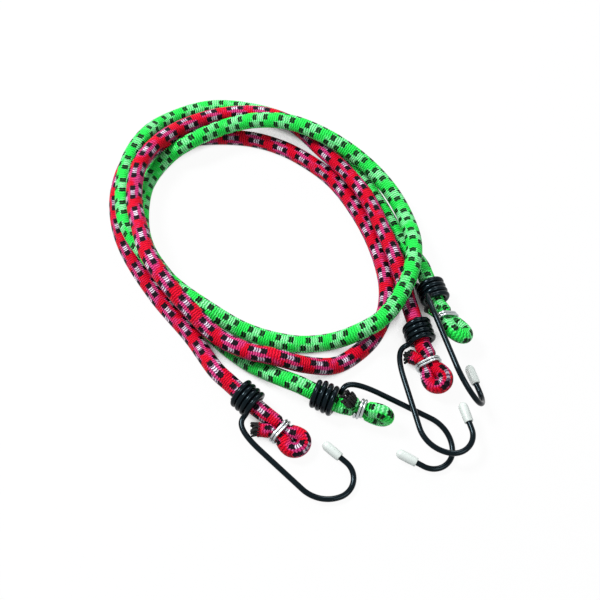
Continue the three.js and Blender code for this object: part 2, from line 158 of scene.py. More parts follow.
def smooth_line(points, per_span=SPAN_POINTS):
    """A smooth line through the points, with close points kept from overshooting."""
    p = np.asarray(points, float)
    p = np.vstack([2 * p[0] - p[1], p, 2 * p[-1] - p[-2]])
    t = np.linspace(0, 1, per_span, endpoint=False)[:, None]
    spans = []
    for a, b, c, d in zip(p, p[1:], p[2:], p[3:]):
        u, v, w = (math.sqrt(np.linalg.norm(y - x)) for x, y in ((a, b), (b, c), (c, d)))
        start = ((b - a) / u - (c - a) / (u + v) + (c - b) / v) * v
        stop = ((c - b) / v - (d - b) / (v + w) + (d - c) / w) * v
        square = 3 * (c - b) - 2 * start - stop
        cube = 2 * (b - c) + start + stop
        spans.append(b + start * t + square * t**2 + cube * t**3)
    return np.vstack(spans + [p[-2:-1]])


def lengths(line):
    """How far along the line each of its points is."""
    steps = np.linalg.norm(np.diff(line, axis=0), axis=1)
    return np.concatenate([[0], np.cumsum(steps)])


for colour, route in ROUTES.items():
    print(f"{colour} route: {len(route)} points, {lengths(smooth_line(route))[-1]:.0f} mm")

# %% [markdown]
# ## Lines of the folds
# At each end the cord doubles back: a leg through the clip, a round loop, and a leg back to a short tail.
# It could be bent from a straight cord with modifiers. Here it is drawn by a few key points in a flat plane,
# each with the cord's radius there, because the clip pinches the cord and the loop beyond it swells. The
# plane is then rolled round the cord and leaned sideways, at each end as the photo shows.

# %% Lines of the folds
CORD_RADIUS = 4.5
LEG_GAP = 0.3
NECK_DIAMETER = 4.9
NECK_LENGTH = 7
NECK_OFFSET = (NECK_DIAMETER + LEG_GAP) / 2
FOLD_START = -12
FOLD_LEAN_START = 8
FOLD_RADIUS = 4.3
FOLD_FULLNESS = 8.0
FOLD_ARC = 220
FOLD_KEYS = 7
CLIP_TO_FOLD = 9
TAIL_DIAMETER = 6.8
TAIL_OFFSET = CORD_RADIUS + TAIL_DIAMETER / 2 + LEG_GAP
TAIL_SWELL = 0.3
CUT_SWELL = 0.2
PINCH_DIAMETER = 5.8
PINCH_REACH = 2.3
PINCH_EASE = 1.8
FOLDS = {
    "red_1": dict(clip=24, lean=6, roll=5, tail=4.5, bare=0.8, fray=5.4, sweep=(0, 0, 0.5)),
    "red_2": dict(clip=18.3, lean=12, roll=30, tail=3.5, bare=0.8, fray=4.4, sweep=(0, -0.6, 0.3)),
    "green_1": dict(clip=18.5, lean=9, roll=-90, tail=3.5, bare=2.6, fray=7.4, sweep=(0, 0.4, 0.2)),
    "green_2": dict(clip=18, lean=18, roll=-32, tail=3.5, bare=1.2, fray=3.2, sweep=(0.4, -0.3, 0.6)),
}


def fold_keys(clip, tail):
    """Places in the plane of a fold, and the cord's radius at each, from the coil to the cut end."""
    centre, bulb = -NECK_OFFSET, clip + CLIP_TO_FOLD
    near, far = clip - NECK_LENGTH / 2, clip + NECK_LENGTH / 2
    full, tail_radius = FOLD_FULLNESS / 2, TAIL_DIAMETER / 2
    keys = [(x, 0, CORD_RADIUS) for x in (FOLD_START, FOLD_START / 2, 0, FOLD_LEAN_START)]
    keys += [(near, 0, full), (far, 0, full)]
    for i in range(FOLD_KEYS):
        turn = math.radians(FOLD_ARC) * (0.5 - i / (FOLD_KEYS - 1))
        keys.append((bulb + FOLD_RADIUS * math.cos(turn), centre + FOLD_RADIUS * math.sin(turn), full))
    returned, end = centre - NECK_OFFSET, near - tail
    keys += [(far, returned, full), (near, returned, full)]
    keys += [((near + end) / 2, (returned - TAIL_OFFSET) / 2, tail_radius + TAIL_SWELL)]
    return keys + [(end, -TAIL_OFFSET, tail_radius + CUT_SWELL)]


def leaned(fold, x):
    """How far a fold leans sideways at a place past the coil."""
    return np.maximum(0, x - FOLD_LEAN_START) * math.tan(math.radians(fold["lean"]))


def fold_point(fold, x, offset, height=0.0):
    """A point of the fold's plane in the end's frame, rolled round the cord and leaned sideways."""
    roll = math.radians(fold["roll"])
    side = offset * math.cos(roll) - height * math.sin(roll)
    rise = offset * math.sin(roll) + height * math.cos(roll)
    return x, side + leaned(fold, x), rise


def eased(share):
    """From 0 to 1 with a soft start and a soft stop."""
    return share**2 * (3 - 2 * share)


def fold_line(name):
    """A fold's line, its radii with the pinch under the clip, and which key each point is near."""
    fold = FOLDS[name]
    keys = fold_keys(fold["clip"], fold["tail"])
    line = smooth_line([fold_point(fold, x, offset) for x, offset, _ in keys])
    ease = eased(np.linspace(0, 1, SPAN_POINTS, endpoint=False))
    radii = [a[2] + (b[2] - a[2]) * ease for a, b in zip(keys, keys[1:])]
    radii = np.concatenate(radii + [[keys[-1][2]]])
    unpinched = np.clip((np.abs(line[:, 0] - fold["clip"]) - PINCH_REACH) / PINCH_EASE, 0, 1)
    radii = PINCH_DIAMETER / 2 + (radii - PINCH_DIAMETER / 2) * eased(unpinched)
    return from_end(name, line), radii, np.arange(len(line)) / SPAN_POINTS


for end_name in ENDS:
    print(f"{end_name}: fold of {lengths(fold_line(end_name)[0])[-1]:.0f} mm")

# %% [markdown]
# ## Whole cords
# A real cord is one length from cut end to cut end. It could be drawn piece by piece, but then the pattern
# would jump at every joint. So it is drawn here as one line: out of one fold, along the route and into the
# other fold. Its rings turn as little as they can from one to the next, so the weave doesn't twist. Only
# then is it cut where the model has its joints.

# %% Whole cords
FLOOR_FLAT = 0.9
LYING_HEIGHT = CORD_RADIUS - FLOOR_FLAT
LEAD_POINT = {"red_1": -21, "red_2": -17, "green_1": -15, "green_2": -17}
STRETCH_LENGTH = 60
RING_STEP = 0.55
NEARLY_UPRIGHT = 0.9


def evenly(step, line, *others):
    """The same line with its points a set step apart, and other values carried along with it."""
    run = lengths(line)
    count = max(2, round(run[-1] / step))
    at = np.linspace(0, run[-1], count + 1)
    new = np.stack([np.interp(at, run, line[:, k]) for k in range(3)], axis=1)
    return [new, *(np.interp(at, run, values) for values in others)]


def unit(v):
    return v / np.linalg.norm(v, axis=-1, keepdims=True)


def rings_along(line):
    """The line's direction at each point and two directions square to it, carried along without twist."""
    tangents = unit(np.gradient(line, axis=0))
    level = abs(tangents[0][2]) < NEARLY_UPRIGHT
    side = np.cross([0, 0, 1.0] if level else [0, 1.0, 0], tangents[0])
    across = np.zeros_like(line)
    for i, tangent in enumerate(tangents):
        side = unit(side - tangent * np.dot(side, tangent))
        across[i] = side
    return tangents, across, np.cross(tangents, across)


def route_line(colour):
    """The line between the folds, never lower than a cord that lies on the table."""
    first, second = colour + "_1", colour + "_2"
    points = [from_end(first, (FOLD_START, 0, 0)), from_end(first, (LEAD_POINT[first], 0, 0))]
    points += [(x, y, LYING_HEIGHT + lift) for x, y, lift in ROUTES[colour]]
    points += [from_end(second, (LEAD_POINT[second], 0, 0)), from_end(second, (FOLD_START, 0, 0))]
    line = smooth_line(points)
    line[:, 2] = np.maximum(line[:, 2], LYING_HEIGHT)
    return line


def cord_line(colour):
    """The whole cord: its line, radii, length along it, frames, nearest keys, and where it is cut."""
    first = evenly(RING_STEP, *(values[::-1] for values in fold_line(colour + "_1")))
    free = evenly(RING_STEP, route_line(colour))[0]
    second = evenly(RING_STEP, *fold_line(colour + "_2"))
    run = lengths(free)
    line = np.vstack([first[0], free[1:], second[0][1:]])
    radii = np.concatenate([first[1], np.full(len(run) - 1, CORD_RADIUS), second[1][1:]])
    keys = np.concatenate([first[2], np.zeros(len(run) - 1), second[2][1:]])
    start = len(first[0]) - 1
    cuts = [0, start]
    cuts += [start + np.searchsorted(run, place) for place in (STRETCH_LENGTH, run[-1] - STRETCH_LENGTH)]
    cuts += [start + len(run) - 1, len(line) - 1]
    return dict(line=line, radii=radii, keys=keys, along=lengths(line), frames=rings_along(line), cuts=cuts)


CORDS = {colour: cord_line(colour) for colour in ROUTES}
for colour, cord in CORDS.items():
    free = cord["along"][cord["cuts"][4]] - cord["along"][cord["cuts"][1]]
    print(f"{colour}: {cord['along'][-1]:.0f} mm from cut end to cut end, {free:.0f} mm between the folds")

# %% [markdown]
# ## A skin over rings
# Cord, wire and tip are all round things that follow a line. Blender can make those as bevelled curves or
# with a skin modifier. Here each mesh is written ring by ring, because the cord has to be pressed flat where
# it lies on the table, and because its weave needs a map of its own: how far along the cord a point is, in
# metres, and how far round. The patterns are drawn on that map.

# %% A skin over rings
CORD_SIDES = 24
SKIN_MAP = "along_round"


def circle_rings(line, radii, sides, frames=None):
    """A ring of points round each place of the line."""
    _, across, up = frames or rings_along(line)
    turn = np.linspace(0, 2 * math.pi, sides, endpoint=False)[:, None]
    spokes = across[:, None] * np.cos(turn) + up[:, None] * np.sin(turn)
    return line[:, None] + spokes * np.broadcast_to(radii, len(line))[:, None, None]


def skin(name, rings, along, floor=False, closed_ends=True):
    """A mesh over rings of points, given in the plan, with a map along and round it."""
    count, sides, _ = rings.shape
    points = rings.reshape(-1, 3).copy()
    if floor:
        points[:, 2] = np.maximum(points[:, 2], 0)
    faces = []
    places = []
    for i in range(count - 1):
        for k in range(sides):
            n = (k + 1) % sides
            faces.append((i * sides + k, i * sides + n, (i + 1) * sides + n, (i + 1) * sides + k))
            places += [(along[i], k / sides), (along[i], (k + 1) / sides)]
            places += [(along[i + 1], (k + 1) / sides), (along[i + 1], k / sides)]
    if closed_ends:
        last = (count - 1) * sides
        faces += [tuple(range(sides))[::-1], tuple(range(last, last + sides))]
        places += [(along[0], 0)] * sides + [(along[-1], 0)] * sides
    mesh = bpy.data.meshes.new(name)
    mesh.from_pydata(((points + SHIFT) * MM).tolist(), [], faces)
    layer = mesh.uv_layers.new(name=SKIN_MAP)
    layer.data.foreach_set("uv", np.array(places, np.float32).ravel())
    mesh.polygons.foreach_set("use_smooth", np.ones(len(faces), bool))
    mesh.update()
    piece = bpy.data.objects.new(name, mesh)
    bpy.context.scene.collection.objects.link(piece)
    return piece


ring = circle_rings(CORDS["red"]["line"][:2], CORD_RADIUS, CORD_SIDES)[0]
print(f"a ring of the cord: {len(ring)} points, {np.linalg.norm(ring[1] - ring[0]):.2f} mm apart")

# %% [markdown]
# ## Rubber, and a short way to write nodes
# Under the braid is a bundle of black rubber strands, dull and a little grainy. A material in Blender is a
# tree of nodes, which can be drawn by hand or written in code. The small class below keeps the writing short,
# so that each material reads like a recipe. The rubber is the plainest one: a noise in the object's own space
# moves its colour, its roughness and a fine relief together, so that it isn't one flat tone.


# %% Rubber, and a short way to write nodes
class Nodes:
    """A short way to write the nodes of a material or a world."""

    def __init__(self, owner):
        owner.use_nodes = True
        self.owner = owner
        self.tree = owner.node_tree
        self.shader = self.tree.nodes.get("Principled BSDF")

    def add(self, kind, **values):
        node = self.tree.nodes.new(kind)
        for key, value in values.items():
            setattr(node, key, value)
        return node

    def put(self, socket, value):
        """Links another node's output to a socket, or sets a plain value on it."""
        if isinstance(value, bpy.types.NodeSocket):
            self.tree.links.new(value, socket)
        else:
            socket.default_value = value

    def set(self, **values):
        """Fills sockets of the shader, named with _ for each space."""
        for key, value in values.items():
            self.put(self.shader.inputs[key.replace("_", " ")], value)

    def math(self, operation, *values):
        node = self.add("ShaderNodeMath", operation=operation)
        for socket, value in zip(node.inputs, values):
            self.put(socket, value)
        return node.outputs[0]

    def mix(self, share, a, b):
        """The first colour at a share of 0, the second at 1, and a mix between."""
        node = self.add("ShaderNodeMix", data_type="RGBA")
        for socket, value in zip((node.inputs[0], node.inputs[6], node.inputs[7]), (share, a, b)):
            self.put(socket, value)
        return node.outputs[2]

    def soft_step(self, value, low, high):
        """0 up to low, 1 from high on, and smooth between them."""
        node = self.add("ShaderNodeMapRange", interpolation_type="SMOOTHSTEP")
        for socket, number in zip(node.inputs, (value, low, high, 0.0, 1.0)):
            self.put(socket, number)
        return node.outputs[0]

    def noise(self, scale, detail=3.0):
        """Noise in the object's own space."""
        node = self.add("ShaderNodeTexNoise")
        self.put(node.inputs["Scale"], scale)
        self.put(node.inputs["Detail"], detail)
        self.put(node.inputs["Vector"], self.add("ShaderNodeTexCoord").outputs["Object"])
        return node.outputs[0]

    def bump(self, height, distance):
        node = self.add("ShaderNodeBump")
        self.put(node.inputs["Strength"], 1.0)
        self.put(node.inputs["Distance"], distance)
        self.put(node.inputs["Height"], height)
        self.set(Normal=node.outputs[0])


def mottled_material(name, scale, detail, dark, light, roughness, spread, relief=0.0, **settings):
    """A plain finish that isn't quite even: its colour and roughness drift together."""
    n = Nodes(bpy.data.materials.new(name))
    drift = n.noise(scale, detail)
    n.set(Base_Color=n.mix(drift, dark, light))
    n.set(Roughness=n.math("MULTIPLY_ADD", drift, spread, roughness))
    if relief:
        n.bump(drift, relief)
    n.set(**settings)
    return n.owner


RUBBER = mottled_material(
    "rubber_core", scale=2400.0, detail=6.0, dark=(0.002, 0.002, 0.002, 1), light=(0.014, 0.014, 0.015, 1),
    roughness=0.55, spread=0.3, relief=0.0002, Specular_IOR_Level=0.2,
)
print("rubber: material of", len(RUBBER.node_tree.nodes), "nodes")

# %% [markdown]
# ## Weave of the braid
# The cover is polyester yarn braided tight over stretched rubber. When the rubber relaxes the yarns crowd
# up into fine ribs across the cord, and the tracer yarns show as short dashes: black, silver white, black.
# Modelling each yarn would take millions of faces, and a picture would blur close up. So the weave is worked
# out from the map along and round the cord: six rows of dashes, each row a little behind its neighbour so
# that they wind round the cord, and ribs about a millimetre apart that zigzag as yarns do.

# %% Weave of the braid
RIB_PITCH = 0.0013
RIB_RELIEF = 0.0003
ZIGZAG = 0.0007
UNEVEN = 0.0006
UNEVEN_SCALE = 900.0
DASH_REPEAT = 0.0158
DASH_ROWS = 6
DASH_EDGE = 0.012
ROW_EDGE = 0.035
ROW_RAGGED = 0.09
WHITE_NARROWER = 0.08


def away(n, value, middle):
    """How far a value is from a middle, either way."""
    return n.math("ABSOLUTE", n.math("SUBTRACT", value, middle))


def inside(n, value, limit, edge):
    """1 where the value is under the limit and 0 where it is over, with a soft edge."""
    return n.math("SUBTRACT", 1.0, n.soft_step(value, limit - edge, limit + edge))


def braid_places(n, hand, dash, white, reach):
    """How far round a point is, how high on a rib, how far off its dash's middle, and if in white or dash."""
    place = n.add("ShaderNodeSeparateXYZ")
    n.put(place.inputs[0], n.add("ShaderNodeUVMap", uv_map=SKIN_MAP).outputs[0])
    along, round_it = place.outputs[0], place.outputs[1]
    # Rows of dashes round the cord, each a little behind the last
    rows = n.math("MULTIPLY", round_it, float(DASH_ROWS))
    behind = n.math("MULTIPLY", n.math("FLOOR", rows), hand / DASH_ROWS)
    # Yarns zigzag, so the ribs step to and fro across each row
    zigzag = away(n, n.math("FRACT", n.math("MULTIPLY", rows, 2.0)), 0.5)
    uneven = n.math("MULTIPLY", n.math("SUBTRACT", n.noise(UNEVEN_SCALE), 0.5), UNEVEN)
    yarn_along = n.math("ADD", n.math("ADD", along, n.math("MULTIPLY", zigzag, ZIGZAG)), uneven)
    wave = n.math("SINE", n.math("MULTIPLY", yarn_along, 2 * math.pi / RIB_PITCH))
    rib = n.math("MULTIPLY_ADD", wave, 0.5, 0.5)
    # Along a dash from its middle, and across it, with edges that follow the ribs
    step = n.math("FRACT", n.math("ADD", n.math("DIVIDE", yarn_along, DASH_REPEAT), behind))
    off_middle = away(n, step, dash / 2)
    across = n.math("ADD", away(n, n.math("FRACT", rows), 0.5), n.math("MULTIPLY", rib, ROW_RAGGED))
    in_white = inside(n, off_middle, white / 2, DASH_EDGE)
    reach = n.math("SUBTRACT", reach, n.math("MULTIPLY", in_white, WHITE_NARROWER))
    in_row = inside(n, n.math("SUBTRACT", across, reach), 0.0, ROW_EDGE)
    in_dash = n.math("MULTIPLY", in_row, inside(n, off_middle, dash / 2, DASH_EDGE))
    return round_it, rib, off_middle, in_white, in_dash


print(f"weave: {DASH_ROWS} rows of dashes, and {DASH_REPEAT / RIB_PITCH:.0f} ribs from dash to dash")

# %% [markdown]
# ## Colours of the braid
# Up close no yarn looks one colour. The ribs are lighter than the grooves between them: painted shade in
# the grooves. Lighter, pinker ribs in patches and beside the dashes are a painted highlight of the glossy
# yarn, and the silver strokes are brighter in some patches than in others, a painted highlight too. These
# colours could be painted on the cord. Mixing them by where a point is in the weave gives the same look at
# any length, and one recipe serves both cords: only the colours, the hand of the winding and the lengths of
# the dashes differ.

# %% Colours of the braid
PATCH_SCALE = 120.0
# Shiny patches and ribs beside the dashes: a painted highlight of the yarn's gloss
PAINTED_SHEEN_REACH, PAINTED_SHEEN_EDGE = 0.29, 0.07
PAINTED_SHEEN_BESIDE = 0.2
PAINTED_SHEEN_RANGE = (0.5, 0.72)
# Over a rib's height: painted shade in the groove, then the yarn's colour on top
PLAIN_GROOVE_SHADE_RANGE = (0.0, 0.5)
LIT_GROOVE_SHADE_RANGE = (0.2, 0.8)
# Silver strokes: brighter in some patches as a painted highlight, with painted shade between
STROKE_HIGHLIGHT_RANGE = (0.36, 0.58)
STROKE_RANGE = (0.25, 0.65)
SPLIT_WIDTH, SPLIT_EDGE = 0.015, 0.007
# Black yarn, darker in the grooves as painted shade
BLACK_SHADED_GROOVE, BLACK_YARN = (0.0003, 0.0004, 0.0005, 1), (0.003, 0.003, 0.004, 1)
STRANDS_IN_ROW = 6
STRAND_RELIEF = 0.12
BRAID_ROUGHNESS, BRAID_SPREAD = 0.4, 0.16
BRAID_GLOSS = 0.1


def braid_material(name, hand, dash, white, split, reach, yarn, shaded_groove, lit, lit_shaded_groove, silver, shaded_gap, gloss):
    """Braid with tracer dashes that wind to the given hand, and a light line that splits the black ones."""
    n = Nodes(bpy.data.materials.new(name))
    round_it, rib, off_middle, in_white, in_dash = braid_places(n, hand, dash, white, reach)
    patch = n.noise(PATCH_SCALE)
    # Plain yarn with painted shade in its grooves, and painted highlights: lighter, pinker ribs
    # in patches and beside the dashes
    sheen_beside_dash = inside(n, off_middle, PAINTED_SHEEN_REACH, PAINTED_SHEEN_EDGE)
    painted_sheen = n.soft_step(n.math("MULTIPLY_ADD", sheen_beside_dash, PAINTED_SHEEN_BESIDE, patch), *PAINTED_SHEEN_RANGE)
    plain = n.mix(n.soft_step(rib, *PLAIN_GROOVE_SHADE_RANGE), shaded_groove, yarn)
    ground = n.mix(painted_sheen, plain, n.mix(n.soft_step(rib, *LIT_GROOVE_SHADE_RANGE), lit_shaded_groove, lit))
    # Silver strokes with painted shade between them, brighter in some patches: a painted highlight
    stroke_highlight = n.math("MULTIPLY_ADD", n.soft_step(patch, *STROKE_HIGHLIGHT_RANGE), 0.5, 0.5)
    strokes = n.mix(n.math("MULTIPLY", n.soft_step(rib, *STROKE_RANGE), stroke_highlight), shaded_gap, silver)
    # Black marks on both sides of the silver, each with its light line,
    # and a little darker in the grooves: painted shade
    line = inside(n, away(n, off_middle, (dash + white) / 4), SPLIT_WIDTH, SPLIT_EDGE)
    black = n.mix(n.math("MULTIPLY", line, split), n.mix(rib, BLACK_SHADED_GROOVE, BLACK_YARN), yarn)
    n.set(Base_Color=n.mix(in_dash, ground, n.mix(in_white, black, strokes)))
    strand = n.math("SINE", n.math("MULTIPLY", round_it, 2 * math.pi * DASH_ROWS * STRANDS_IN_ROW))
    n.bump(n.math("ADD", rib, n.math("MULTIPLY", strand, STRAND_RELIEF)), RIB_RELIEF)
    n.set(Roughness=n.math("MULTIPLY_ADD", patch, BRAID_SPREAD, BRAID_ROUGHNESS))
    n.set(Specular_IOR_Level=BRAID_GLOSS, Specular_Tint=gloss)
    return n.owner


# Colours: yarn, darker grooves as painted shade, pinker painted highlights, silver with shaded gaps
BRAID = {
    "red": braid_material(
        "red_braid", hand=-1, dash=0.64, white=0.23, split=0.0, reach=0.39,
        yarn=(0.63, 0.001, 0.017, 1), shaded_groove=(0.30, 0.0, 0.010, 1),
        lit=(0.62, 0.060, 0.23, 1), lit_shaded_groove=(0.28, 0.004, 0.070, 1),
        silver=(0.76, 0.68, 0.76, 1), shaded_gap=(0.09, 0.04, 0.09, 1), gloss=(1, 0.6, 0.9, 1),
    ),
    "green": braid_material(
        "green_braid", hand=1, dash=0.60, white=0.26, split=0.2, reach=0.45,
        yarn=(0.020, 0.76, 0.080, 1), shaded_groove=(0.005, 0.34, 0.034, 1),
        lit=(0.22, 0.88, 0.34, 1), lit_shaded_groove=(0.05, 0.52, 0.12, 1),
        silver=(0.30, 0.80, 0.40, 1), shaded_gap=(0.05, 0.46, 0.11, 1), gloss=(0.7, 1, 0.8, 1),
    ),
}
print("braids:", {colour: len(material.node_tree.nodes) for colour, material in BRAID.items()}, "nodes")

# %% [markdown]
# ## Covers and cores
# Between the folds each cord is a tube of braid with its rubber inside. It lies on the table, so its lowest
# side is pressed flat there. The main length stays put. The stretch at each end is what gives when a hook is
# pulled. Shape keys could draw it out, but they would have to be made anew for each joint. Here each stretch
# is only made where it lies, and joins no body.

# %% Covers and cores
COVER_THICKNESS = 1.6
BORE_SHARE = 1 - COVER_THICKNESS / CORD_RADIUS
CORE_CLEARANCE = 0.42
CORE_SIDES = 10
CORE_SKIP = 4


def dress(piece, material, slot, *nodes):
    """Gives a piece its material and hides the solids whose place it takes."""
    piece.data.materials.clear()
    piece.data.materials.append(material)
    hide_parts(*nodes)


def core_rod(name, line, radii, along, frames):
    """The rubber core under rings of braid, with fewer rings of its own, because little of it is seen."""
    bores = radii[::CORE_SKIP] * BORE_SHARE - CORE_CLEARANCE
    sparse = tuple(f[::CORE_SKIP] for f in frames)
    return skin(name, circle_rings(line[::CORE_SKIP], bores, CORE_SIDES, sparse), along[::CORE_SKIP] * MM)


def cord_piece(colour, name, first, last):
    """Cover and core of one stretch of a cord, between two of its rings, and the path that they follow."""
    cord, part = CORDS[colour], slice(first, last + 1)
    line, radii, along = (cord[k][part] for k in ("line", "radii", "along"))
    frames = tuple(f[part] for f in cord["frames"])
    rings = circle_rings(line, radii, CORD_SIDES, frames)
    cover = skin(f"{colour}_cover_{name}_braid", rings, along * MM, floor=True, closed_ends=False)
    core = core_rod(f"{colour}_core_{name}_rubber", line, radii, along, frames)
    dress(cover, BRAID[colour], f"{colour}_braid", f"{colour}_cover_{name}")
    dress(core, RUBBER, "rubber_core", f"{colour}_core_{name}")
    return cover, core, (line + SHIFT) * MM


for colour, cord in CORDS.items():
    _, fold_1, main_1, main_2, fold_2, _ = cord["cuts"]
    stretches = {"stretch_1": (fold_1, main_1), "main": (main_1, main_2), "stretch_2": (main_2, fold_2)}
    for name, (first, last) in stretches.items():
        cover, core, path = cord_piece(colour, name, first, last)
        if name == "main":
            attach(cover, "cords")
            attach(core, "cords")
        else:
            number = name[-1]
            for piece in (cover, core):
                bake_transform(piece)

# %% [markdown]
# ## Cut ends
# Past the clip, the cut end shows how the cord is made: a ragged rim of yarn ends, and rubber strands of
# uneven length that stick out of it. Hair particles could give such a fray, but here each strand is thick
# enough to be seen, so each is a short wire of its own. The random numbers come from a seeded generator, so
# every run gives the same fray.

# %% Cut ends
WIRE_END_ROUND = 0.5
WIRE_END_FACE = 0.3
# Rings of strands: share of the bundle's radius, number of strands, and turn of the first
STRAND_RINGS = ((0.0, 1, 0.0), (0.5, 6, 0.0), (0.95, 12, 0.26))
STRAND_ROOT = 2.0
STRAND_CURL = 0.4
STRAND_SPLAY = (0.1, 0.7)
STRAND_SWEEP = (0.7, 1.3)
STRAND_REACH = (0.6, 1.0)
STRAND_THICK = (0.22, 0.3)
STRAND_SPAN = 8
STRAND_STEP = 0.35
STRAND_SIDES = 8
ASLANT = (0.2, 0.1, 1.0)
YARN_ENDS = 26
YARN_RADIUS = 0.2
YARN_ROOT = 0.5
YARN_RING = 0.93
YARN_ASIDE = (-0.3, 0.3)
YARN_LENGTH = (0.5, 1.5)
YARN_SPLAY = (0, 0.5)
YARN_SPAN = 6
YARN_STEP = 0.3
YARN_SIDES = 5


def wire(name, line, radius, sides):
    """A round wire with softly rounded ends."""
    run = lengths(line)
    ends = np.clip(np.minimum(run, run[-1] - run) / (WIRE_END_ROUND * radius), 0, 1)
    radii = radius * np.sqrt(np.clip(1 - (1 - ends) ** 2, WIRE_END_FACE, 1))
    return skin(name, circle_rings(line, radii, sides), run * MM)


def cut_strands(name, tip, way, sweep, radius, reach, seed):
    """The rubber strands at a cut end: a bundle of short rods of uneven length that curl and splay."""
    rng = np.random.default_rng(seed)
    side = unit(np.cross(way, ASLANT))
    up = np.cross(way, side)
    spots = []
    for share, count, offset in STRAND_RINGS:
        spots += [(share, turn + offset) for turn in np.linspace(0, 2 * math.pi, count, endpoint=False)]
    rods = []
    for i, (share, turn) in enumerate(spots):
        out = (side * math.cos(turn) + up * math.sin(turn)) * share * radius
        curl = (side * rng.normal() + up * rng.normal()) * STRAND_CURL
        splay = out * rng.uniform(*STRAND_SPLAY) + sweep * rng.uniform(*STRAND_SWEEP)
        far = reach * rng.uniform(*STRAND_REACH)
        points = [tip - way * STRAND_ROOT + out * 0.9, tip + out]
        points.append(tip + out + way * far * 0.5 + splay * 0.3 + curl)
        points.append(tip + out + way * far + splay - curl * 0.5)
        line = evenly(STRAND_STEP, smooth_line(points, STRAND_SPAN))[0]
        rods.append(wire(f"{name}_{i}", line, radius * rng.uniform(*STRAND_THICK), STRAND_SIDES))
    return rods


def frayed_rim(name, line, radius, seed):
    """The braid's cut edge: short yarn ends standing round the rim."""
    rng = np.random.default_rng(seed)
    ahead, across, up = (f[-1] for f in rings_along(line))
    hairs = []
    for i in range(YARN_ENDS):
        turn = 2 * math.pi * (i + rng.uniform(*YARN_ASIDE)) / YARN_ENDS
        out = across * math.cos(turn) + up * math.sin(turn)
        root = line[-1] + out * radius * YARN_RING
        far = rng.uniform(*YARN_LENGTH)
        points = [root - ahead * YARN_ROOT, root, root + ahead * far * 0.6 + out * 0.15]
        points.append(root + ahead * far + out * rng.uniform(*YARN_SPLAY))
        hair = evenly(YARN_STEP, smooth_line(points, YARN_SPAN))[0]
        hairs.append(wire(f"{name}_{i}", hair, YARN_RADIUS, YARN_SIDES))
    return hairs


strand_count = sum(count for _, count, _ in STRAND_RINGS)
print(f"at each cut end: {strand_count} rubber strands and {YARN_ENDS} yarn ends")

# %% [markdown]
# ## Folded ends
# The clip squeezes the two legs of a fold against each other, so they are flat where they touch. Cloth
# simulation could press them, but its result is hard to steer at this size. Here every point that would cross
# the plane between the legs is moved back to it, which gives the same flat. The braid's rim turns in at the
# cut, and fray and strands are joined to the piece that they belong to.

# %% Folded ends
# The legs of a fold, by the numbers of its keys: from and to, and from there on
FIRST_LEG = (3, 6.2)
SECOND_LEG = 11.8
LEG_CLEARANCE = 0.04
TAIL_SPREAD = 3
# Rings of the rim: share of the cord's radius, step outward, and length on the map
RIM = ((0.93, 0.25, 0.4), (0.8, 0.2, 0.9), (0.68, -1.0, 2.0))
STRAND_BUNDLE = 0.72
STRAND_SEED = 50


def press_legs(end_name, rings, keys):
    """Presses the two legs of a fold flat against each other, as the clip does."""
    fold = FOLDS[end_name]
    roll = math.radians(fold["roll"])
    x, side, rise = np.moveaxis((rings - ENDS[end_name]["place"]) @ end_axes(end_name).T, -1, 0)
    side = side - leaned(fold, x)
    offset = side * math.cos(roll) + rise * math.sin(roll)
    height = rise * math.cos(roll) - side * math.sin(roll)
    # On the tail's side of the clip, the plane between the legs moves out with the tail
    past = (fold["clip"] - NECK_LENGTH / 2 - x) / fold["tail"]
    plane = -NECK_OFFSET - np.clip(past, 0, TAIL_SPREAD) * (TAIL_OFFSET / 2 - NECK_OFFSET)
    first_leg = ((keys > FIRST_LEG[0]) & (keys < FIRST_LEG[1]))[:, None]
    second_leg = (keys > SECOND_LEG)[:, None]
    offset = np.where(first_leg, np.maximum(offset, plane + LEG_CLEARANCE), offset)
    offset = np.where(second_leg, np.minimum(offset, plane - LEG_CLEARANCE), offset)
    return from_end(end_name, np.stack(fold_point(fold, x, offset, height), axis=-1))


def join(name, pieces):
    """One piece out of several that belong together."""
    bpy.ops.object.select_all(action="DESELECT")
    for piece in pieces:
        piece.select_set(True)
    bpy.context.view_layer.objects.active = pieces[0]
    bpy.ops.object.join()
    pieces[0].name = name
    pieces[0].data.name = name
    return pieces[0]


